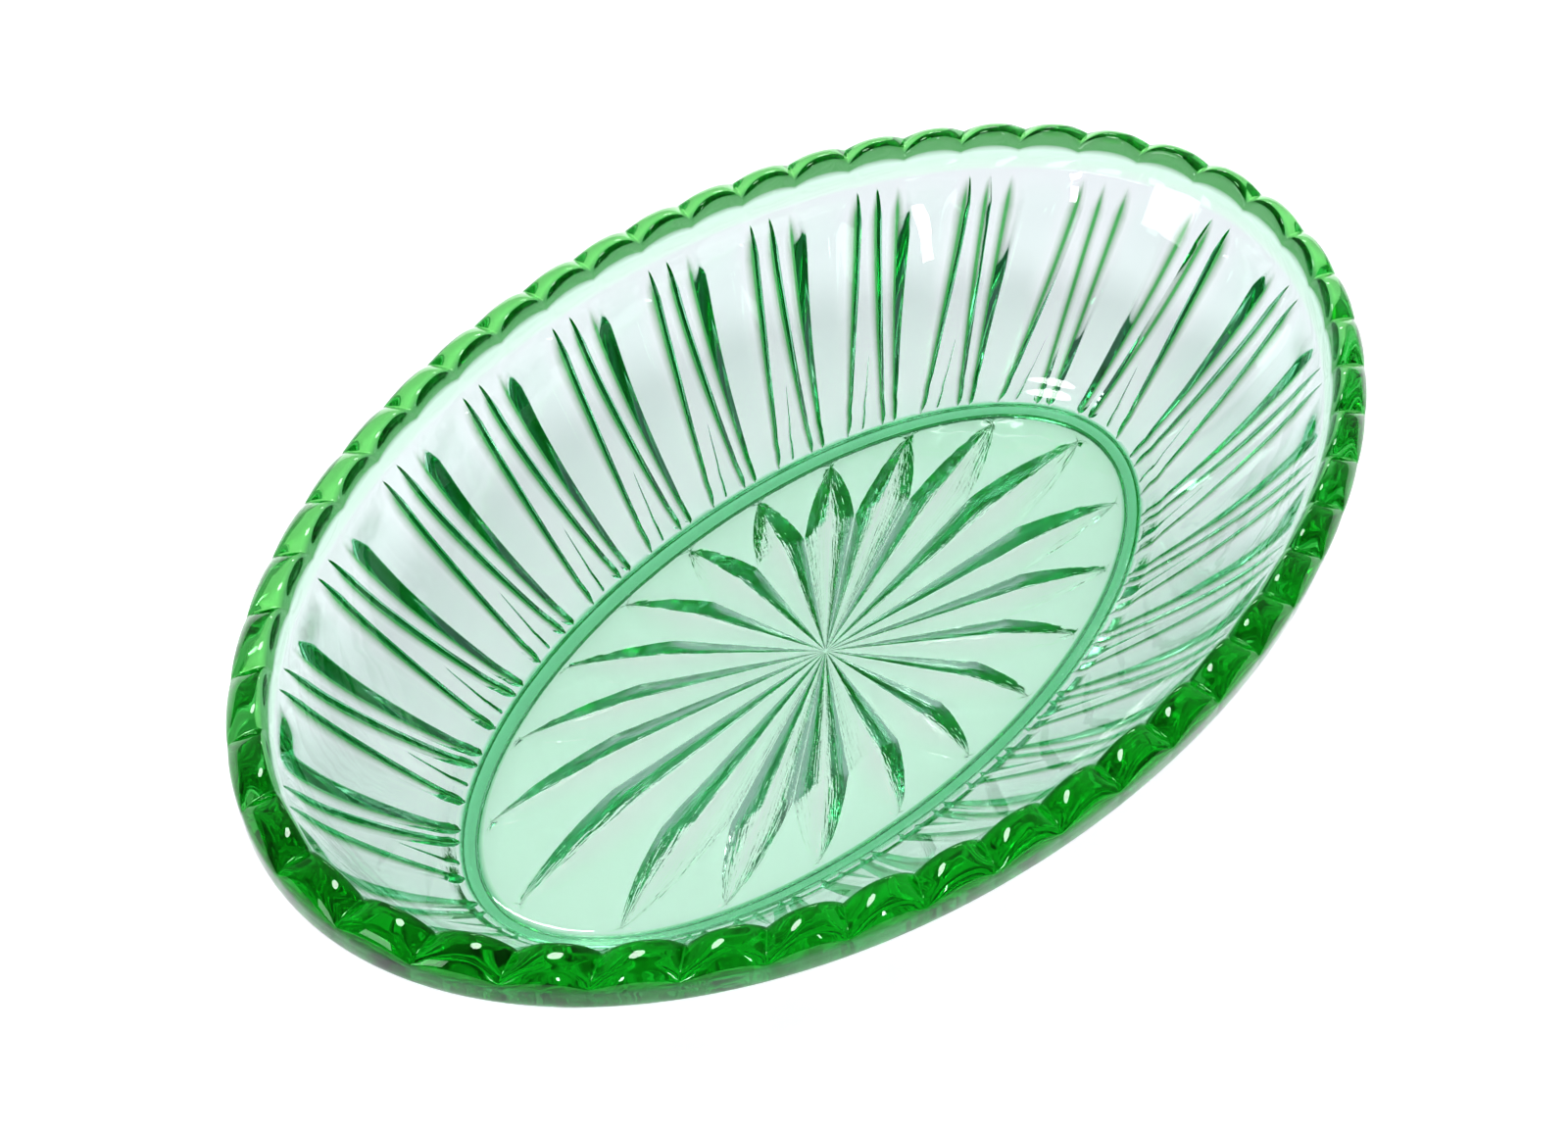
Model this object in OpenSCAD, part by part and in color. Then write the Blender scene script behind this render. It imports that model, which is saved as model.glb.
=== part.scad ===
// Oval dish of pressed green glass. One casting, drawn as its four regions: the scalloped rim, the
// fluted wall, the star floor and the foot ring. They meet face to face where the mould's surfaces
// meet, and in the real dish they are one piece of glass.
// Origin: centre of the flat underside of the foot ring. X is the long axis of the oval, Z is up.
// A place round the oval is a share of its own length, s, from 0 to 1, counted from the +X end, so
// the scallops, groove groups and petals are evenly spaced. A place in the section is [out, z], and
// out is the distance outward from the oval along the inner crest of the rim.

/* [Oval] */
// Length of the oval along the inner crest of the rim
crest_length = 200; // [180:2:230]
// Width of the oval along the inner crest of the rim
crest_width = 120; // [110:2:140]
// Height from the table to the tops of the scallops
height = 48; // [42:1:56]

/* [Rim] */
// Width of the rim band, from its inner crest to its outer face
rim_width = 5.8; // [5.2:0.2:7]
// Depth of the plain collar on the outside of the rim
collar_depth = 4; // [3:0.5:5]
// Rise of a scallop above the notches beside it
scallop_rise = 2.5; // [1:0.25:3]

/* [Wall] */
// Distance that the wall leans out, from the foot to the collar
wall_reach = 26.4; // [24:0.4:28]
// Glass thickness of the wall, square to its surface
wall_thickness = 4.6; // [3.6:0.2:5]
// How much the wall steepens towards the rim
wall_steepening = 0.22; // [0.1:0.02:0.3]
// Number of groove groups round the wall, with two scallops to each
groove_groups = 24; // [16:2:28]
// Depth of a pressed groove
groove_depth = 1; // [0.6:0.1:1.4]
// Bulge of the middle of the panel between two groove groups
panel_bulge = 1.2; // [0.6:0.1:1.4]

/* [Floor] */
// Glass thickness of the floor
floor_thickness = 4.5; // [3.5:0.25:6]
// Number of petals in the star
petals = 20; // [12:4:28]
// Depth of the widest petal
petal_depth = 2.9; // [1.2:0.1:3]
// Share of the recessed underside that the star reaches across
star_reach = 0.955; // [0.8:0.005:0.96]

/* [Foot] */
// Height of the foot ring
foot_height = 2; // [1.2:0.2:2.6]
// Width of the foot ring on the table
foot_width = 3; // [2.4:0.2:3.4]

/* [Hidden] */

glass_green = [0.45, 0.78, 0.55];
rim_green = [0.10, 0.50, 0.15];

scallops = 2 * groove_groups;
notch_z = height - scallop_rise;
edge_z = notch_z - 1.7;
collar_z = edge_z - collar_depth;
// Share of the wall's height where the rim's flare begins
rim_joint = 0.95;
wall_top_out = rim_width - 2.6;
wall_foot_out = wall_top_out - wall_reach;
floor_top_z = foot_height + floor_thickness;
foot_side = 0.4;
foot_outer_out = wall_foot_out - 0.8;
foot_inner_out = foot_outer_out - foot_width - foot_side;

scallop_columns = 6;
group_columns = 15;
inner_share = 3;
table_steps = 240;

// Points round the oval

function long_radius(out) = crest_length / 2 + out;
function short_radius(out) = crest_width / 2 + out;
function oval_at(a, b, t) = [a * cos(t), b * sin(t)];
// Running length round an ellipse against its angle, for even spacing
function length_table(a, b) = [
    for (
        i = 0, run = 0;
        i <= table_steps;
        i = i + 1,
        run = run + norm(oval_at(a, b, 360 * i / table_steps) - oval_at(a, b, 360 * (i - 1) / table_steps))
    ) [run, 360 * i / table_steps]
];
// Points at the shares in places, each moved by its own amount in push, square to the oval
function oval_ring(out, places, push) =
    let (
        a = long_radius(out),
        b = short_radius(out),
        table = length_table(a, b),
        total = table[table_steps][0]
    )
    [
        for (i = [0 : len(places) - 1])
            let (
                whole = places[i] - floor(places[i]),
                t = lookup(whole * total, table),
                normal = [b * cos(t), a * sin(t)],
                amount = is_undef(push) ? 0 : push[i]
            )
            oval_at(a, b, t) + amount * normal / norm(normal)
    ];
function lift(ring, z) = [for (p = ring) [p.x, p.y, z]];
function even_places(count) = [for (i = [0 : count - 1]) i / count];

// Triangles between neighbouring rings of the same count, from ring first to ring last
function band_faces(first, last, count, start) = [
    for (ring = [first : last - 1], i = [0 : count - 1])
        let (
            next = (i + 1) % count,
            low = start + (ring - first) * count,
            high = low + count
        )
        each [[low + i, high + next, low + next], [low + i, high + i, high + next]]
];

// Section of the wall

// Outward place of the wall's outside at a share of its height, 0 at the foot and 1 at the collar
function wall_out(v) = wall_foot_out + wall_reach * ((1 + wall_steepening) * v - wall_steepening * pow(v, 3));
function wall_z(v) = foot_height + (collar_z - foot_height) * v;
function wall_slope(v) =
    atan2(collar_z - foot_height, wall_reach * (1 + wall_steepening - 3 * wall_steepening * v * v));
function inner_out(v) = wall_out(v) - wall_thickness / sin(wall_slope(v));

outer_levels = [0, 0.07, 0.18, 0.3, 0.5, 0.72, 0.88, rim_joint];
inner_foot = 0.19;
inner_levels = [rim_joint, 0.78, 0.58, 0.36, inner_foot];
// The inside of the wall rounds into the floor
cove = [
    [inner_out(inner_foot) - 1.6, floor_top_z + 0.7],
    [foot_inner_out, floor_top_z],
    [foot_inner_out, foot_height]
];

// The groove pattern. Places are shares of a group's pitch from the group's middle, and widths are
// millimetres. Three grooves run down side by side and splay near the foot, where a short spur fills
// the wider gap. Each outer groove has a wide flank, which eases out to the panel beside it.

// The spur runs up to this share of the wall's height, and above it its corners rest at spur_rest
spur_top = 0.3;
spur_width = 1.4;
spur_rest = -0.09;
// A groove widens from the foot to this share of the wall's height, and a flank does as well
groove_foot_half = 0.95;
groove_high_half = 1.52;
groove_widest = 0.6;
flank_foot_width = 0.9;
flank_high_width = 3.5;
flank_widest = 0.74;
// Widest half groove that leaves room for the panels, in pitches
groove_limit = 0.075;
// The panel's edge, in pitches, and how much of the bulge its edge and the flank reach
panel_edge = 0.42;
panel_edge_share = 0.95;
flank_share = 0.83;
// Shares of the wall's height over which the grooves fade out at the collar and at the foot
top_fade = 0.14;
foot_fade = 0.07;
function pitch(v) =
    let (
        a = long_radius(wall_out(v)),
        b = short_radius(wall_out(v))
    )
    PI * (3 * (a + b) - sqrt((3 * a + b) * (a + 3 * b))) / groove_groups;
function splay(v) = pow(1 - v, 2);
function far_groove(v) = -0.18 - 0.16 * splay(v);
function middle_groove(v) = 0.145 * splay(v);
function near_groove(v) = 0.2 + 0.1 * splay(v);
function spur(v) = v < spur_top ? -0.14 + 0.36 * v : spur_rest;
// Grooves and panels fade out at both ends of the wall
function fade(v) = max(0, min(1, (rim_joint - v) / top_fade, (v + 0.01) / foot_fade));
function spur_fade(v) = v < spur_top ? fade(v) * (1 - v / spur_top) : 0;
function blend(low, high, share) = low + (high - low) * min(1, share);
function groove_half(v) =
    min(groove_limit, blend(groove_foot_half, groove_high_half, v / groove_widest) / pitch(v));
function spur_half(v) = max(0.008, spur_fade(v) * spur_width / 2 / pitch(v));
function flank(v) = blend(flank_foot_width, flank_high_width, min(1, v / flank_widest) * fade(v)) / pitch(v);
function swell(v) = panel_bulge * min(1, fade(v), 0.3 + v / 0.5);
function groove_part(middle, half, depth) = [[middle - half, 0], [middle, -depth], [middle + half, 0]];
// Place and push of each column of one group at a share of the wall's height
function group_profile(v) =
    let (
        depth = groove_depth * fade(v),
        half = groove_half(v),
        bulge = swell(v),
        far = far_groove(v),
        near = near_groove(v)
    )
    concat(
        [[max(far - flank(v), 0.01 - panel_edge), flank_share * bulge], [far, -depth], [far + half, 0]],
        groove_part(spur(v), spur_half(v), groove_depth * spur_fade(v)),
        groove_part(middle_groove(v), half, depth),
        [[near - half, 0], [near, -depth], [min(near + flank(v), panel_edge - 0.01), flank_share * bulge]],
        [[panel_edge, panel_edge_share * bulge], [0.5, bulge], [1 - panel_edge, panel_edge_share * bulge]]
    );
// The two halves of the mould are mirror images, so the spur changes side halfway round
function mirrored(profile) = [
    for (i = [0 : group_columns - 1])
        let (from = i < group_columns - 3 ? group_columns - 4 - i : i)
        [i < group_columns - 3 ? -profile[from][0] : profile[from][0], profile[from][1]]
];
function wall_profile(v) = [
    for (group = [0 : groove_groups - 1])
        let (
            plain = group_profile(v),
            used = group >= 1 && group <= groove_groups / 2 ? mirrored(plain) : plain
        )
        each [for (c = used) [(group + c[0]) / groove_groups, c[1]]]
];

module fluted_wall() {
    count = groove_groups * group_columns;
    few = count / inner_share;
    outside = [
        for (v = outer_levels)
            let (profile = wall_profile(v))
            each lift(oval_ring(wall_out(v), [for (c = profile) c[0]], [for (c = profile) c[1]]), wall_z(v))
    ];
    inner_places = [for (i = [0 : few - 1]) (i - 1) / few];
    inside = concat(
        [for (v = inner_levels) each lift(oval_ring(inner_out(v), inner_places), wall_z(v))],
        [for (c = cove) each lift(oval_ring(c[0], inner_places), c[1])]
    );
    outer_rings = len(outer_levels);
    inner_rings = len(inner_levels) + len(cove);
    top = (outer_rings - 1) * count;
    start = outer_rings * count;
    bottom = start + (inner_rings - 1) * few;
    // A flat face between the wall's many outer columns and its fewer inner ones
    function flat_faces(outer, inner, flip) = [
        for (i = [0 : few - 1])
            let (
                o = [for (k = [0 : inner_share]) outer + (i * inner_share + k) % count],
                n = [inner + i, inner + (i + 1) % few],
                four = [[n[0], o[1], o[0]], [n[0], o[2], o[1]], [n[0], n[1], o[2]], [n[1], o[3], o[2]]]
            )
            each [for (f = four) flip ? [f[0], f[2], f[1]] : f]
    ];
    color(glass_green)
        polyhedron(
            points = concat(outside, inside),
            faces = concat(
                band_faces(0, outer_rings - 1, count, 0),
                flat_faces(top, start, false),
                band_faces(0, inner_rings - 1, few, start),
                flat_faces(0, bottom, true)
            ),
            convexity = 6
        );
}

// Section of the rim: outward place, height at a notch, and the share of a scallop's rise above it.
// It starts with the flare under the collar and ends on the inside of the wall.
rim_section = [
    [wall_out(rim_joint), wall_z(rim_joint), 0],
    [wall_out(rim_joint) + 0.4, wall_z(rim_joint) + 0.6, 0],
    [rim_width - 0.4, collar_z + 0.05, 0],
    [rim_width, collar_z + 0.6, 0],
    [rim_width, edge_z, 0],
    [rim_width - 0.5, notch_z - 0.9, 0.3],
    [rim_width - 1.5, notch_z - 0.4, 0.6],
    [rim_width - 2.9, notch_z - 0.15, 0.85],
    [1.5, notch_z, 1],
    [0.5, notch_z - 0.3, 0.95],
    [0, notch_z - 1, 0.68],
    [inner_out(1) / 2, collar_z + 2.1, 0],
    [inner_out(1), collar_z, 0],
    [inner_out(rim_joint), wall_z(rim_joint), 0]
];

// How flat the top of a scallop is: 2 would be a plain parabola
arch_power = 2.4;

module scalloped_rim() {
    count = scallops * scallop_columns;
    places = even_places(count);
    // A scallop is an arch between two sharp notches, and one stands at each end of the oval
    function arch(i) =
        let (across = ((i + scallop_columns / 2) % scallop_columns) * 2 / scallop_columns - 1)
        1 - pow(abs(across), arch_power);
    points = [
        for (row = rim_section)
            let (ring = oval_ring(row[0], places))
            each [for (i = [0 : count - 1]) [ring[i].x, ring[i].y, row[1] + scallop_rise * row[2] * arch(i)]]
    ];
    rings = len(rim_section);
    closing = [
        for (i = [0 : count - 1])
            let (
                next = (i + 1) % count,
                last = (rings - 1) * count
            )
            each [[last + i, next, last + next], [last + i, i, next]]
    ];
    color(rim_green)
        polyhedron(
            points = points,
            faces = concat(band_faces(0, rings - 1, count, 0), closing),
            convexity = 6
        );
}

// The star: straight-sided petals that touch out to the shoulder and then taper to points

shoulder = 0.66;
tip_middle = 0.85;
tip_share = 0.6;

module star_recess() {
    below = foot_height - 1;
    a = long_radius(foot_inner_out) * star_reach;
    b = short_radius(foot_inner_out) * star_reach;
    table = length_table(a, b);
    total = table[table_steps][0];
    function star_at(place, share) =
        let (
            whole = place - floor(place),
            t = lookup(whole * total, table)
        )
        share * oval_at(a, b, t);
    function at(place, share, z) =
        let (p = star_at(place, share))
        [p.x, p.y, z];
    half = 0.5 / petals;
    taper_half = half * tip_share * shoulder / tip_middle;
    // Corners of one petal's outline: its shoulder, which it shares with the petal before, the narrowing
    // to its tip, the tip, and the narrowing on its other side
    function petal_corners(i, z) = [
        at(i / petals - half, shoulder, z),
        at(i / petals - taper_half, tip_middle, z),
        at(i / petals, 1, z),
        at(i / petals + taper_half, tip_middle, z)
    ];
    rim_points = [for (i = [0 : petals - 1]) each petal_corners(i, foot_height)];
    low_points = [for (i = [0 : petals - 1]) each petal_corners(i, below)];
    keel_points = [
        for (i = [0 : petals - 1])
            each [
                at(i / petals, shoulder, foot_height + petal_depth),
                at(i / petals, tip_middle, foot_height + petal_depth * tip_share)
            ]
    ];
    around = 4 * petals;
    keels = 2 * around;
    centre = keels + 2 * petals;
    roof = [
        for (i = [0 : petals - 1])
            let (
                r = 4 * i,
                k = keels + 2 * i,
                next = (r + 4) % around
            )
            each [
                [centre, r, k],
                [centre, k, next],
                [r, r + 1, k],
                [r + 1, k + 1, k],
                [r + 1, r + 2, k + 1],
                [r + 2, r + 3, k + 1],
                [k + 1, r + 3, k],
                [r + 3, next, k]
            ]
    ];
    sides = [
        for (i = [0 : around - 1])
            let (next = (i + 1) % around)
            each [[i, around + i, around + next], [i, around + next, next]]
    ];
    base = [
        for (i = [0 : around - 1])
            let (next = (i + 1) % around)
            [centre + 1, around + next, around + i]
    ];
    polyhedron(
        points = concat(rim_points, low_points, keel_points, [[0, 0, foot_height], [0, 0, below]]),
        faces = [for (f = concat(roof, sides, base)) [f[0], f[2], f[1]]],
        convexity = 6
    );
}

module star_floor() {
    outline = oval_ring(foot_inner_out, even_places(groove_groups * group_columns / inner_share));
    color(glass_green)
        difference() {
            translate([0, 0, foot_height])
                linear_extrude(height = floor_thickness)
                    polygon(outline);
            star_recess();
        }
}

// The foot ring stands on its flat underside, with a small step in at the edge that meets the table
module foot_ring() {
    places = even_places(groove_groups * group_columns / inner_share);
    module ring(inner, outer, z, deep) {
        translate([0, 0, z])
            linear_extrude(height = deep)
                difference() {
                    polygon(oval_ring(outer, places));
                    polygon(oval_ring(inner, places));
                }
    }
    color(glass_green)
        union() {
            ring(foot_inner_out, foot_outer_out, foot_side, foot_height - foot_side);
            ring(foot_inner_out + foot_side, foot_outer_out - foot_side, 0, foot_side);
        }
}

scalloped_rim();
fluted_wall();
star_floor();
foot_ring();
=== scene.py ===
"""Oval dish of pressed green glass on a pale floor.

The dish is one casting, so it is one closed mesh, glass_dish, which stands for the four CAD nodes.
The mesh is a grid wrapped round the oval. A row is one level of the section, from the middle of the
underside, over the foot ring, up the outside of the wall, over the rim, and down the inside to the
middle of the floor. A column is a place round the oval, a share of its own length from the +X end.
Each row has its own places, so that the columns follow the grooves, the notches and the petals.
Each point of the mesh also has a painted shade: a tint that makes the glass look darker and greener
there.
Lengths here are millimetres, and the mesh is scaled to metres when it is made.
"""

import math

import bpy
import numpy as np
from mathutils import Matrix, Vector


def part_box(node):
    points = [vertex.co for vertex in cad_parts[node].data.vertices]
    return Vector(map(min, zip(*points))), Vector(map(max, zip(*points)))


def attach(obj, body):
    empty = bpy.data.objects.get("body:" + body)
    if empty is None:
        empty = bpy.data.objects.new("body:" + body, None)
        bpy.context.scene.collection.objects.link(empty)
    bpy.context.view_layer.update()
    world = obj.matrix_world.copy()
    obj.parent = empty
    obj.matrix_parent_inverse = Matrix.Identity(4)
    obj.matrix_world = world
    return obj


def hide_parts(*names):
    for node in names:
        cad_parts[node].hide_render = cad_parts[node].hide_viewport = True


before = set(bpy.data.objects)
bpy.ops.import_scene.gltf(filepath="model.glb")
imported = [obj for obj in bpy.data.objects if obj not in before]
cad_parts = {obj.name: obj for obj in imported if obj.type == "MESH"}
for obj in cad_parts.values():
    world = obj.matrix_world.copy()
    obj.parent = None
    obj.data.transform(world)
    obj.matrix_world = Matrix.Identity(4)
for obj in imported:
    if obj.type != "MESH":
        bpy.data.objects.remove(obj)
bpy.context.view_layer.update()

MM = 0.001
rng = np.random.default_rng(24)


def high_corner(name):
    """The largest x, y and z of a CAD node, in millimetres."""
    return np.array(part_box(name)[1]) / MM


# Sizes of the CAD model. In the section, out is measured outward from the rim's inner crest.
rim_high = high_corner("scalloped_rim")
floor_high = high_corner("star_floor")
foot_high = high_corner("foot_ring")
rim_width = 5.8
crest_long = rim_high[0] - rim_width
crest_short = rim_high[1] - rim_width
height = rim_high[2]
foot_height = foot_high[2]
floor_top_z = floor_high[2]
foot_outer_out = foot_high[0] - crest_long
foot_inner_out = floor_high[0] - crest_long

# Rim
scallop_rise = 2.5
notch_z = height - scallop_rise
edge_z = notch_z - 1.7
collar_z = edge_z - 4
arch_power = 2.4
lobe_depth = 0.12

# Wall
wall_top_out = rim_width - 2.6
wall_reach = 26.4
wall_foot_out = wall_top_out - wall_reach
wall_thickness = 4.6
wall_steepening = 0.22
rim_joint = 0.95
inside_top = 0.91
cove_top = 0.2
cove_inset = 3.4
cove_radius = 4.6

# Pressed pattern of the wall. Heights on the wall are shares of it, 0 at the foot and 1 at the collar.
groups = 24
groove_depth = 1.0
groove_half_foot = 0.95
groove_half_gain = 0.57
groove_widest = 0.6
groove_least = 0.2
groove_power = 1.1
groove_top = 0.945
groove_bottom = -0.012
top_fade = 0.14
foot_fade = 0.05
steep_power = 1.2
flank_foot = 0.9
flank_gain = 2.6
flank_widest = 0.74
flank_rise_power = 1.2
flank_power = 0.93
panel_bulge = 1.0
panel_crown = 0.2
foot_bulge = 0.3
bulge_rise = 0.5
bulge_fade = 0.2
spur_top = 0.3
spur_rest = 0.15
spur_half_width = 0.7
spur_least = 0.12
spur_depth = 0.6

# Places in a group are shares of its pitch, from -0.5 to 0.5. The grooves splay towards the foot.
far_top = -0.18
far_splay = -0.16
middle_splay = 0.145
near_top = 0.2
near_splay = 0.1
spur_foot = -0.14
spur_lean = 0.36

# Star of the floor
petals = 20
petal_depth = 2.9
star_reach = 0.955
shoulder = 0.66
petal_fill = 0.985
petal_point = 0.02
petal_taper = 0.85
petal_power = 1.3
land_roughness = 0.012
petal_roughness = 0.03

# Grid
group_columns = 60
count = groups * group_columns
scallop_columns = group_columns // 2
petal_columns = count // petals
land_columns = 11
star_levels = np.concatenate(
    [np.linspace(0.012, 0.6, 22), np.linspace(0.63, shoulder, 3), np.linspace(0.68, 1, 22)]
)
land_shares = (0.25, 0.6)
curve_steps = 4
notch_crowding = 0.55
inner_floor_scales = (0.9, 0.7, 0.5, 0.3, 0.1)
# The columns turn from the petals' places to the wall's: the rate over the land, and the share that
# is done before the foot ring. Inside, they even out over this share of the wall's height.
land_turn = 0.6
foot_turn = 0.4
inside_turn = 0.5

# Painted shade of each region: a tint that makes the glass look darker and greener there
clear_shade = (1, 1, 1)
# Painted shade on the star floor and, darker, on the foot ring
painted_floor_shade = (0.55, 0.68, 0.58)
painted_ring_shade = (0.12, 0.42, 0.2)
# Painted shade on the panels: lighter at the foot, darker higher up the wall
painted_foot_shade = (0.8, 0.67, 0.74)
painted_wall_shade = (0.62, 0.49, 0.57)
# Painted shade: deep green in the grooves, which darkens their lines
painted_groove_shade = (0.01, 0.12, 0.015)
# Painted shade on the collar, close to the wall's
painted_collar_shade = (0.6, 0.6, 0.56)
# Painted shade over the rim: deep green on its top, darker still at its inner edge
painted_top_shade = (0.15, 0.76, 0.1)
painted_edge_shade = (0.05, 0.2, 0.05)
# How the painted shade spreads into a groove, and the height where a panel's painted shade is darkest
painted_groove_shade_gain = 1.7
painted_groove_shade_start = 0.35
painted_wall_shade_from = 0.8

# ---------------------------------------------------------------- points round the oval


def oval_angles(a, b, places):
    """Angles of the points at these shares of the length of an ellipse."""
    t = np.linspace(0, 2 * np.pi, 2881)
    steps = np.hypot(np.diff(a * np.cos(t)), np.diff(b * np.sin(t)))
    run = np.concatenate([[0], np.cumsum(steps)]) / steps.sum()
    whole = np.floor(places)
    return np.interp(places - whole, run, t) + 2 * np.pi * whole


def group_pitch(v):
    """Length of one groove group round the wall's outside."""
    a, b = crest_long + wall_out(v), crest_short + wall_out(v)
    return np.pi * (3 * (a + b) - math.sqrt((3 * a + b) * (a + 3 * b))) / groups


def ring(out, z, places, push=0.0, scale=1.0):
    """One row of the grid: z and push may differ from column to column."""
    a, b = (crest_long + out) * scale, (crest_short + out) * scale
    t = oval_angles(a, b, places)
    normal = np.stack([b * np.cos(t), a * np.sin(t)], axis=1)
    normal /= np.linalg.norm(normal, axis=1, keepdims=True)
    flat = np.stack([a * np.cos(t), b * np.sin(t)], axis=1) + normal * np.reshape(push, (-1, 1))
    return np.column_stack([flat, np.broadcast_to(z, (count,))])


def smooth(x):
    x = np.clip(x, 0, 1)
    return x * x * (3 - 2 * x)


def mix(a, b, share):
    return a * (1 - share) + b * share


def fillet(start, corner, end, radius, steps):
    """Points of a rounded corner: a quadratic curve that leaves the corner's sides at radius."""
    start, corner, end = np.array(start), np.array(corner), np.array(end)
    a = corner + radius * (start - corner) / np.linalg.norm(start - corner)
    b = corner + radius * (end - corner) / np.linalg.norm(end - corner)
    t = np.linspace(0, 1, steps)[:, None]
    points = (1 - t) ** 2 * a + 2 * t * (1 - t) * corner + t**2 * b
    return [tuple(p) for p in points]


def rounded(points, steps):
    """A smooth curve through these points, as Catmull-Rom pieces."""
    p = np.array([points[0], *points, points[-1]], dtype=float)
    curve = []
    for i in range(1, len(p) - 2):
        a, b, c, d = p[i - 1 : i + 3]
        square, cube = 2 * a - 5 * b + 4 * c - d, 3 * b - a - 3 * c + d
        for t in np.arange(steps) / steps:
            curve.append(0.5 * (2 * b + (c - a) * t + square * t**2 + cube * t**3))
    curve.append(p[-2])
    return curve


# ---------------------------------------------------------------- section of the wall at height v


def wall_out(v):
    return wall_foot_out + wall_reach * ((1 + wall_steepening) * v - wall_steepening * v**3)


def wall_z(v):
    return foot_height + (collar_z - foot_height) * v


def wall_slope(v):
    run = wall_reach * (1 + wall_steepening - 3 * wall_steepening * v * v)
    return math.atan2(collar_z - foot_height, run)


def inner_out(v):
    return wall_out(v) - wall_thickness / math.sin(wall_slope(v))


# ---------------------------------------------------------------- where the columns stand

even = np.arange(count) / count - 0.5 / groups

# Steps across a groove, in half widths, close together at its edges and along its bottom
groove_steps = np.array([-1.08, -1, -0.92, -0.6, -0.15, 0, 0.15, 0.6, 0.92, 1, 1.08])
spur_steps = np.array([-1.1, -0.95, -0.5, -0.12, 0.12, 0.5, 0.95, 1.1])
# An outer groove has a steep side towards the group's middle and a wide flank towards the panel
steep_steps = np.array([-1.08, -1, -0.92, -0.6, -0.15, 0])
flank_steps = np.array([0.06, 0.25, 0.5, 0.75, 0.95, 1.05])


def splay(v):
    return (1 - v) ** 2


def far_groove(v):
    return far_top + far_splay * splay(v)


def middle_groove(v):
    return middle_splay * splay(v)


def near_groove(v):
    return near_top + near_splay * splay(v)


def spur(v):
    """The spur runs up to the middle groove. Above it, its spare columns rest between two grooves."""
    lower = spur_foot + spur_lean * min(v, spur_top)
    upper = (far_groove(v) + middle_groove(v)) / 2
    return mix(lower, upper, smooth((v - spur_top) / spur_rest))


def spur_half(v):
    """Half the width of the spur in millimetres."""
    return spur_half_width * max(spur_least, 1 - v / spur_top) ** 0.5


def fade(v):
    """A groove runs out at both ends."""
    return math.sqrt(max(0, min(1, (groove_top - v) / top_fade, (v - groove_bottom) / foot_fade)))


def groove_half(v):
    """Half the width of a groove in millimetres: wider high on the wall, pointed at its ends."""
    plain = groove_half_foot + groove_half_gain * smooth(v / groove_widest)
    return plain * max(fade(v), groove_least)


def flank_width(v):
    """Width of an outer groove's flank in millimetres: widest high on the wall."""
    rise = min(1, v / flank_widest) ** flank_rise_power
    return flank_foot + flank_gain * rise * fade(v)


def plain_group(v, pitch):
    """Places of one group's columns."""
    half = groove_half(v) / pitch
    flank = flank_width(v) / pitch
    outer = np.concatenate([half * steep_steps, flank * flank_steps])
    far = far_groove(v) - outer[::-1]
    side = spur(v) + spur_half(v) / pitch * spur_steps
    middle = middle_groove(v) + half * groove_steps
    near = near_groove(v) + outer
    left = np.linspace(-0.5, far[0], 7)[:-1]
    gap_a = np.linspace(far[-1], side[0], 4)[1:-1]
    gap_b = np.array([(side[-1] + middle[0]) / 2])
    gap_c = np.linspace(middle[-1], near[0], 4)[1:-1]
    right = np.linspace(near[-1], 0.5, 8)[1:-1]
    return np.concatenate([left, far, gap_a, side, gap_b, middle, gap_c, near, right])


def is_mirrored(group):
    """In one half of the mould the pattern is mirrored, so the spur changes side."""
    return 1 <= group <= groups // 2


def wall_places(v):
    plain = plain_group(v, group_pitch(v))
    mirrored = np.concatenate([[-0.5], -plain[:0:-1]])
    places = [g + (mirrored if is_mirrored(g) else plain) for g in range(groups)]
    return np.concatenate([p / groups for p in places])


def rim_places():
    """Columns close together at the two notches of a group, a quarter pitch from its middle."""
    t = np.arange(scallop_columns) / scallop_columns
    lobe = (1 - notch_crowding) * t + notch_crowding * (1 - np.cos(np.pi * t)) / 2
    places = np.concatenate([-0.25 + 0.5 * lobe, 0.25 + 0.5 * lobe])
    half_scallop = scallop_columns // 2
    one = np.concatenate([places[-half_scallop:] - 1, places[:-half_scallop]])
    return np.concatenate([(g + one) / groups for g in range(groups)])


def petal_places(half_width):
    """Columns of the star: most of them across each petal, and the rest across the land beside it."""
    inside = np.linspace(-1, 1, petal_columns - land_columns) * half_width
    land = np.linspace(half_width, 1 / petals - half_width, land_columns + 2)[1:-1]
    return np.concatenate([i / petals + np.concatenate([inside, land]) for i in range(petals)])


rim_columns = rim_places()

# ---------------------------------------------------------------- pressed pattern of the wall


def groove_dip(u, middle, half, depth):
    """A narrow groove with a round bottom."""
    return -depth * (1 - np.clip(np.abs(u - middle) / half, 0, 1) ** groove_power)


def flank_dip(x, half, flank, depth, swell):
    """An outer groove, with x towards the panel: steep on one side, and easing out to the panel."""
    steep = -depth * (1 - np.clip(-x / half, 0, 1) ** steep_power)
    easy = swell - (depth + swell) * np.clip(1 - x / flank, 0, 1) ** flank_power
    return np.where(x < 0, steep, easy)


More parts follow.
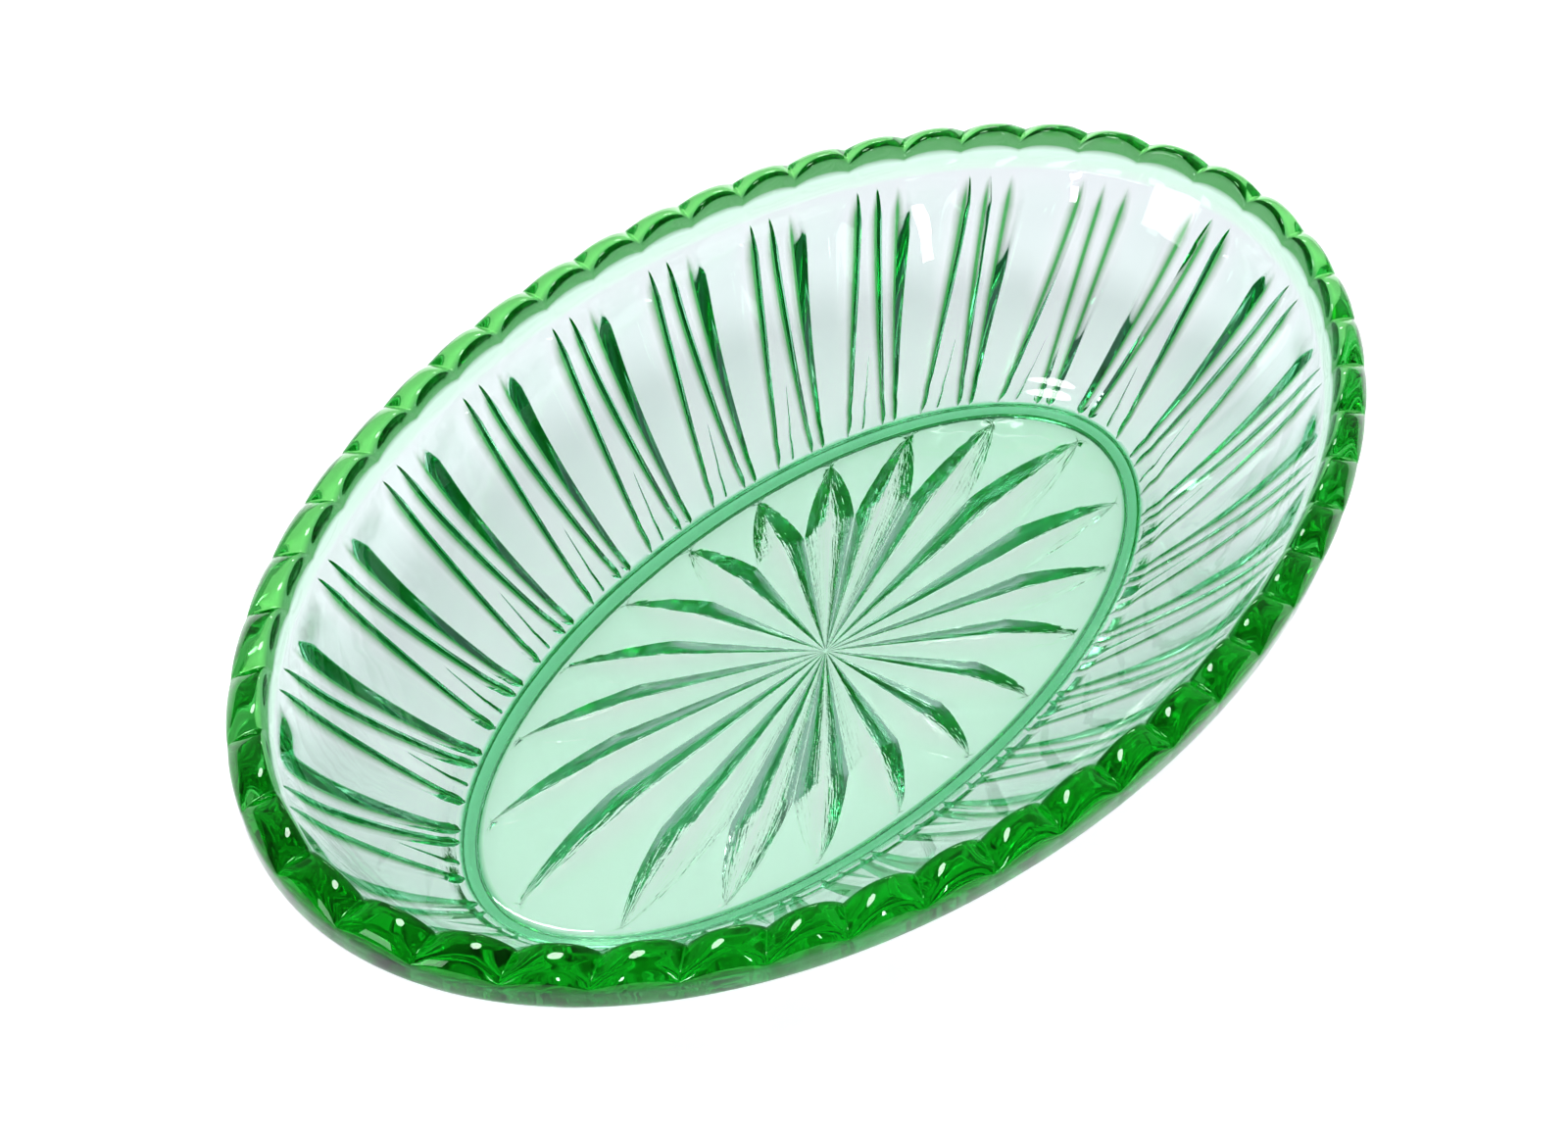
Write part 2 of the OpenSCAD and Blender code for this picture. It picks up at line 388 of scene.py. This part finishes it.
def group_push(v, u, pitch):
    """How far the wall stands out from its plain surface at the places u of a plain group."""
    half = groove_half(v) / pitch
    flank = flank_width(v) / pitch
    depth = groove_depth * fade(v)
    full = min(1, foot_bulge + v / bulge_rise) * smooth((rim_joint - v) / bulge_fade)
    swell = panel_bulge * full
    middle, near, far = middle_groove(v), near_groove(v), far_groove(v)
    push = groove_dip(u, middle, half, depth)
    if v < spur_top:
        shallow = spur_depth * depth * (1 - v / spur_top) ** 0.5
        push += groove_dip(u, spur(v), spur_half(v) / pitch, shallow)
    push += np.where(u > (near + middle) / 2, flank_dip(u - near, half, flank, depth, swell), 0)
    push += np.where(u < (far + middle) / 2, flank_dip(far - u, half, flank, depth, swell), 0)
    beyond = np.maximum(u - near, far - u) - flank
    across = np.clip(beyond / ((1 - near + far) / 2 - flank), 0, 1)
    return push + panel_crown * full * (1 - (1 - across) ** 3)


def wall_push(v, places):
    """How far the outside of the wall stands out from its plain surface at each column."""
    total = np.zeros(count)
    for group in range(groups):
        side = -1 if is_mirrored(group) else 1
        own = slice(group * group_columns, (group + 1) * group_columns)
        total[own] = group_push(v, side * (places[own] * groups - group), group_pitch(v))
    return total


# ---------------------------------------------------------------- the rows

petal_half = 0.5 / petals
tip_places = petal_places(petal_half * petal_point)


def star_rows():
    """The star, from the middle of the underside out to the tips of its petals."""
    rows = []
    for rho in star_levels:
        taper = np.clip((1 - rho) / (1 - shoulder), 0, 1) ** petal_taper
        width = petal_half * max(petal_fill * taper, petal_point)
        places = petal_places(width)
        across = np.abs(((places * petals + 0.5) % 1 - 0.5)) / (width * petals)
        deep = petal_depth * (width / petal_half) * rho / shoulder
        rough = land_roughness + petal_roughness * (across < 1)
        wobble = rng.normal(0, 1, count) * rough * rho
        lift = deep * (1 - np.clip(across, 0, 1) ** petal_power) + wobble
        rows.append(ring(foot_inner_out, foot_height + lift, places, scale=star_reach * rho))
    return rows


def land_rows(foot_places):
    """The flat land between the star and the foot ring, where the columns start to turn."""
    edge = 1 - 0.5 / (crest_long + foot_inner_out)
    rows = []
    for share in land_shares:
        places = mix(tip_places, foot_places, share * land_turn)
        rows.append(ring(foot_inner_out, foot_height, places, scale=mix(star_reach, edge, share)))
    return rows


def foot_path():
    """Section of the foot ring, from its inner side, under it and up to the foot of the wall."""
    inner, outer = foot_inner_out, foot_outer_out
    return [
        *fillet((inner - 1.2, foot_height), (inner + 0.05, foot_height), (inner + 0.3, 0.4), 0.5, 5),
        *fillet((inner + 0.3, 0.8), (inner + 0.4, 0), (inner + 1.6, 0), 0.55, 6),
        *fillet((outer - 1.6, 0), (outer - 0.1, 0), (outer, 0.8), 0.7, 6),
        (outer, 1.0),
        *fillet((outer, 1.2), (outer + 0.02, 1.9), (wall_foot_out, 2.0), 0.2, 3),
    ]


def underside_rows():
    foot_places = wall_places(0)
    rows = star_rows() + land_rows(foot_places)
    path = foot_path()
    for i, (out, z) in enumerate(path):
        share = foot_turn + (1 - foot_turn) * smooth((i + 1) / (len(path) - 4))
        rows.append(ring(out, z, mix(tip_places, foot_places, share)))
    return rows


def outside_levels():
    parts = [(0, 0.06, 6), (0.06, 0.3, 16), (0.3, 0.8, 20)]
    levels = [np.linspace(low, high, steps)[:-1] for low, high, steps in parts]
    return np.concatenate([*levels, np.linspace(0.8, rim_joint, 14)])


def outside_rows():
    rows = []
    for v in outside_levels():
        places = wall_places(v)
        rows.append(ring(wall_out(v), wall_z(v), places, wall_push(v, places)))
    return rows


def arch():
    """Height of the scallops: 0 at a notch and 1 in the middle of a scallop."""
    across = ((rim_columns * 2 * groups + 0.5) % 1 - 0.5) * 2
    return 1 - np.abs(across) ** arch_power


def flare_path():
    """Section of the flare under the collar and of the collar itself."""
    out, z = wall_out(rim_joint), wall_z(rim_joint)
    flare_in = (out + 0.35, z + 0.5)
    flare_out = (rim_width - 0.2, collar_z + 0.1)
    return [
        *fillet((out + 0.05, z + 0.1), flare_in, flare_out, 0.4, 4),
        *fillet(flare_in, flare_out, (rim_width, collar_z + 2), 0.8, 6),
        (rim_width, collar_z + 1.6),
        (rim_width, edge_z - 1.2),
        (rim_width, edge_z - 0.6),
    ]


# Section over the rim, from the collar's top edge to the inside of the wall: outward place, height
# at a notch, share of a scallop's rise, and how far a notch stands out
rim_section = [
    (rim_width, edge_z - 0.2, 0, -lobe_depth),
    (rim_width - 0.1, edge_z + 0.4, 0.08, -0.15),
    (rim_width - 0.5, notch_z - 0.9, 0.3, -lobe_depth),
    (rim_width - 1.5, notch_z - 0.4, 0.6, 0),
    (rim_width - 2.9, notch_z - 0.15, 0.85, 0),
    (1.5, notch_z - 0.05, 0.97, 0),
    (0.55, notch_z - 0.3, 0.95, 0.1),
    (0.08, notch_z - 1, 0.68, 0.1),
    (-0.25, notch_z - 2, 0.2, 0),
    (inner_out(1) / 2 + 0.05, collar_z + 2.1, 0, 0),
    (inner_out(1), collar_z, 0, 0),
    (inner_out(rim_joint), wall_z(rim_joint), 0, 0),
]


def rim_rows():
    """The flare and the collar, and over the scallops to the inside of the wall."""
    top_places = wall_places(rim_joint)
    bumps = arch()
    path = flare_path()
    rows = []
    for i, (out, z) in enumerate(path):
        share = smooth((i + 1) / len(path))
        lobed = -lobe_depth * (1 - bumps) * smooth((z - collar_z) / (edge_z - collar_z))
        rows.append(ring(out, z, mix(top_places, rim_columns, share), lobed))
    for out, z, share, notch_push in rounded(rim_section, curve_steps):
        rows.append(ring(out, z + scallop_rise * share * bumps, rim_columns, notch_push * (1 - bumps)))
    return rows


def inside_rows():
    """The inside of the wall, the cove at its foot, and the flat inside of the floor."""
    rows = []
    for v in np.linspace(inside_top, cove_top, 18):
        share = smooth((inside_top - v) / inside_turn)
        rows.append(ring(inner_out(v), wall_z(v), mix(rim_columns, even, share)))
    corner = inner_out(cove_top) - cove_inset
    above = (inner_out(cove_top + 0.1), wall_z(cove_top + 0.1))
    cove = fillet(above, (corner, floor_top_z), (corner - 1, floor_top_z), cove_radius, 12)
    rows += [ring(out, z, even) for out, z in cove if z < wall_z(cove_top) - 0.2]
    for scale in inner_floor_scales:
        rows.append(ring(cove[-1][0], floor_top_z, even, scale=scale))
    return rows


# ---------------------------------------------------------------- the painted shade of each point


def painted_row_shades(painted_shades):
    """One painted shade for each row, the same at every column."""
    return np.repeat(np.array(painted_shades)[:, None, :], count, axis=1)


def painted_underside_shades(rows):
    """Painted shade on the star and its land, then a darker one on the foot ring."""
    star_count = len(star_levels) + len(land_shares)
    return painted_row_shades([painted_floor_shade] * star_count + [painted_ring_shade] * (rows - star_count))


def painted_wall_shades():
    """Painted shade: deep green in a groove, and a panel painted palest at the foot and darker higher up.
    """
    painted_shades = []
    for v in outside_levels():
        push = wall_push(v, wall_places(v))
        # The painted shade of a groove deepens with its depth
        share = smooth(-push / groove_depth * painted_groove_shade_gain - painted_groove_shade_start)[:, None]
        # A panel's painted shade darkens from the foot upwards
        panel = mix(np.array(painted_foot_shade), np.array(painted_wall_shade), smooth(v / painted_wall_shade_from))
        painted_shades.append(mix(panel, np.array(painted_groove_shade), share))
    return np.array(painted_shades)


# Places along rim_section, counted in its points, and the painted shades there
painted_rim_stops = [
    (0, painted_collar_shade),
    (1.25, painted_top_shade),
    (5, painted_top_shade),
    (6, painted_edge_shade),
    (7.5, painted_edge_shade),
    (8, clear_shade),
]


def painted_rim_shades(rows):
    """Painted shade from the wall's to the collar's, deep green over the top of the rim, darker at its
    inner edge, then clear glass.
    """
    section_start = len(flare_path())
    stops = [(0, painted_wall_shade), (4, painted_collar_shade)]
    for point, painted_shade in painted_rim_stops:
        stops.append((section_start + curve_steps * point, painted_shade))
    places = [place for place, painted_shade in stops]
    painted_shades = np.array([painted_shade for place, painted_shade in stops])
    blends = [np.interp(np.arange(rows), places, painted_shades[:, channel]) for channel in range(3)]
    return painted_row_shades(np.stack(blends, axis=1))


# ---------------------------------------------------------------- the mesh


def grid_faces(rows, low_middle, high_middle):
    """Quads between neighbouring rows, and triangles that close the first and last rows."""
    i = np.arange(count)
    after = (i + 1) % count
    faces = []
    for row in range(rows - 1):
        low, high = row * count, (row + 1) * count
        faces += np.stack([low + i, low + after, high + after, high + i], axis=1).tolist()
    last = (rows - 1) * count
    for column in range(count):
        following = (column + 1) % count
        faces.append([low_middle, following, column])
        faces.append([high_middle, last + column, last + following])
    return faces


def make_dish():
    below, outside, rim, inside = underside_rows(), outside_rows(), rim_rows(), inside_rows()
    rows = below + outside + rim + inside
    middles = [[0, 0, foot_height], [0, 0, floor_top_z]]
    points = np.concatenate([*rows, middles])
    faces = grid_faces(len(rows), len(points) - 2, len(points) - 1)
    mesh = bpy.data.meshes.new("glass_dish")
    mesh.from_pydata((points * MM).tolist(), [], faces)
    mesh.polygons.foreach_set("use_smooth", [True] * len(faces))
    # Painted shade at each point, stored as a colour attribute for the glass
    painted_shades = [
        painted_underside_shades(len(below)),
        painted_wall_shades(),
        painted_rim_shades(len(rim)),
        painted_row_shades([clear_shade] * len(inside)),
    ]
    painted_colors = np.concatenate([*(s.reshape(-1, 3) for s in painted_shades), [painted_floor_shade, clear_shade]])
    opaque = np.ones(len(painted_colors))
    attribute = mesh.attributes.new("painted_glass_shade", "FLOAT_COLOR", "POINT")
    attribute.data.foreach_set("color", np.column_stack([painted_colors, opaque]).ravel())
    mesh.update()
    dish = bpy.data.objects.new("glass_dish", mesh)
    bpy.context.collection.objects.link(dish)
    return dish


# ---------------------------------------------------------------- glass


def new_node(tree, kind, values=None):
    """A new node of this kind, with these values on its inputs."""
    node = tree.nodes.new(kind)
    for name, value in (values or {}).items():
        node.inputs[name].default_value = value
    return node


def glass_material():
    material = bpy.data.materials.new("pressed_green_glass")
    material.use_nodes = True
    tree = material.node_tree
    link = tree.links.new
    shader = tree.nodes["Principled BSDF"]
    shader.inputs["IOR"].default_value = 1.5
    shader.inputs["Transmission Weight"].default_value = 1
    absorb = new_node(tree, "ShaderNodeVolumeAbsorption", {"Color": (0.25, 0.88, 0.56, 1), "Density": 70})
    link(absorb.outputs["Volume"], tree.nodes["Material Output"].inputs["Volume"])
    # Painted shade: the colour attribute darkens the glass most in the grooves, the rim and the foot ring
    painted_shade = new_node(tree, "ShaderNodeAttribute")
    painted_shade.attribute_name = "painted_glass_shade"
    link(painted_shade.outputs["Color"], shader.inputs["Base Color"])
    add_skin(tree, shader)
    return material


def add_skin(tree, shader):
    """Broad faint ripples everywhere, and fine stipple from the mould up to the top of the star."""
    link = tree.links.new
    star_top = foot_height + petal_depth
    place = new_node(tree, "ShaderNodeTexCoord")
    ripple = new_node(tree, "ShaderNodeTexNoise", {"Scale": 90, "Detail": 2})
    stipple = new_node(tree, "ShaderNodeTexNoise", {"Scale": 1400, "Detail": 3})
    split = new_node(tree, "ShaderNodeSeparateXYZ")
    limits = {"From Min": (star_top + 0.3) * MM, "From Max": (star_top + 0.1) * MM}
    under = new_node(tree, "ShaderNodeMapRange", limits)
    rough = new_node(tree, "ShaderNodeMapRange", {"To Min": 0.015, "To Max": 0.09})
    grain = new_node(tree, "ShaderNodeMath")
    grain.operation = "MULTIPLY"
    waves = new_node(tree, "ShaderNodeBump", {"Strength": 0.12, "Distance": 0.0008})
    pits = new_node(tree, "ShaderNodeBump", {"Strength": 0.35, "Distance": 0.0001})
    link(place.outputs["Object"], ripple.inputs["Vector"])
    link(place.outputs["Object"], stipple.inputs["Vector"])
    link(place.outputs["Object"], split.inputs["Vector"])
    link(split.outputs["Z"], under.inputs["Value"])
    link(under.outputs["Result"], rough.inputs["Value"])
    link(rough.outputs["Result"], shader.inputs["Roughness"])
    link(stipple.outputs["Fac"], grain.inputs[0])
    link(under.outputs["Result"], grain.inputs[1])
    link(ripple.outputs["Fac"], waves.inputs["Height"])
    link(grain.outputs["Value"], pits.inputs["Height"])
    link(waves.outputs["Normal"], pits.inputs["Normal"])
    link(pits.outputs["Normal"], shader.inputs["Normal"])


# ---------------------------------------------------------------- studio, in metres


def light_table_material():
    material = bpy.data.materials.new("light_table")
    material.use_nodes = True
    shader = material.node_tree.nodes["Principled BSDF"]
    shader.inputs["Base Color"].default_value = (0.93, 0.89, 0.95, 1)
    shader.inputs["Roughness"].default_value = 0.9
    shader.inputs["Emission Color"].default_value = (0.98, 0.95, 1, 1)
    shader.inputs["Emission Strength"].default_value = 0.74
    return material


def make_floor():
    """A pale floor that glows a little, like a light table."""
    half = 4.0
    mesh = bpy.data.meshes.new("studio_floor")
    corners = [(-half, -half, 0), (half, -half, 0), (half, half, 0), (-half, half, 0)]
    mesh.from_pydata(corners, [], [(0, 1, 2, 3)])
    floor = bpy.data.objects.new("studio_floor", mesh)
    floor.location.z = -0.0002
    bpy.context.collection.objects.link(floor)
    mesh.materials.append(light_table_material())


def aimed(position, target, roll=0.0):
    """World matrix of a camera or light at position that looks at target."""
    forward = (Vector(target) - Vector(position)).normalized()
    level = forward.cross(Vector((0, 0, 1))).normalized()
    upright = level.cross(forward)
    right = level * math.cos(roll) + upright * math.sin(roll)
    up = right.cross(forward)
    turn = Matrix((right, up, -forward)).transposed().to_4x4()
    return Matrix.Translation(position) @ turn


def soft_light(name, shape, position, size, power, color=(1, 1, 1)):
    light = bpy.data.lights.new(name, "AREA")
    light.shape = shape
    light.size, light.size_y = size
    light.energy = power
    light.color = color
    lamp = bpy.data.objects.new(name, light)
    lamp.matrix_world = aimed(position, (0, 0, 0.02))
    bpy.context.collection.objects.link(lamp)


def make_lights():
    daylight = (0.97, 0.99, 1)
    soft_light("overhead_softbox", "ELLIPSE", (-0.2, -0.16, 1.1), (0.38, 0.38), 6)
    soft_light("near_window", "RECTANGLE", (-0.1, -0.95, 0.33), (0.035, 0.2), 0.5, daylight)
    soft_light("low_window", "RECTANGLE", (-0.75, -0.72, 0.3), (0.05, 0.12), 0.5, daylight)
    soft_light("back_strip", "RECTANGLE", (0.98, 0.72, 0.74), (0.45, 0.08), 2.4)
    soft_light("left_window", "RECTANGLE", (-0.95, 0.03, 0.26), (0.42, 0.25), 1.6, daylight)


def make_world():
    """A pale wall stands beyond the dish, and the room behind the camera is dim."""
    world = bpy.data.worlds.new("studio")
    world.use_nodes = True
    tree = world.node_tree
    link = tree.links.new
    background = tree.nodes["Background"]
    background.inputs["Color"].default_value = (0.92, 0.97, 1, 1)
    place = new_node(tree, "ShaderNodeTexCoord")
    beyond = new_node(tree, "ShaderNodeVectorMath")
    beyond.operation = "DOT_PRODUCT"
    beyond.inputs[1].default_value = (0.72, 0.58, 0.38)
    reach = {"From Min": 0.0, "From Max": 0.75, "To Min": 0.17, "To Max": 0.55}
    climb = new_node(tree, "ShaderNodeMapRange", reach)
    climb.interpolation_type = "SMOOTHSTEP"
    path = new_node(tree, "ShaderNodeLightPath")
    strength = new_node(tree, "ShaderNodeMix", {"B": 1.0})
    link(place.outputs["Generated"], beyond.inputs[0])
    link(beyond.outputs["Value"], climb.inputs["Value"])
    link(path.outputs["Is Camera Ray"], strength.inputs["Factor"])
    link(climb.outputs["Result"], strength.inputs["A"])
    link(strength.outputs["Result"], background.inputs["Strength"])
    bpy.context.scene.world = world


def make_camera():
    camera = bpy.data.cameras.new("camera")
    camera.sensor_width = 36
    camera.lens = 51.7
    view = bpy.data.objects.new("camera", camera)
    target = (0.01167, 0.01957, 0)
    view.matrix_world = aimed((-0.1919, -0.1404, 0.2915), target, math.radians(5.39))
    bpy.context.collection.objects.link(view)
    bpy.context.scene.camera = view


def set_grade():
    """The view deepens the dark tones a little, and light may pass through many glass surfaces."""
    scene = bpy.context.scene
    scene.view_settings.view_transform = "Standard"
    scene.view_settings.use_curve_mapping = True
    curves = scene.view_settings.curve_mapping
    for dark, deeper in ((0.04, 0.015), (0.15, 0.1), (0.4, 0.36), (0.75, 0.73)):
        curves.curves[3].points.new(dark, deeper)
    curves.update()
    scene.cycles.max_bounces = 24
    scene.cycles.transmission_bounces = 24
    scene.cycles.glossy_bounces = 12


make_camera()
make_lights()
make_world()
make_floor()
dish = make_dish()
dish.data.materials.append(glass_material())
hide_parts("scalloped_rim", "fluted_wall", "star_floor", "foot_ring")
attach(dish, "root")
set_grade()
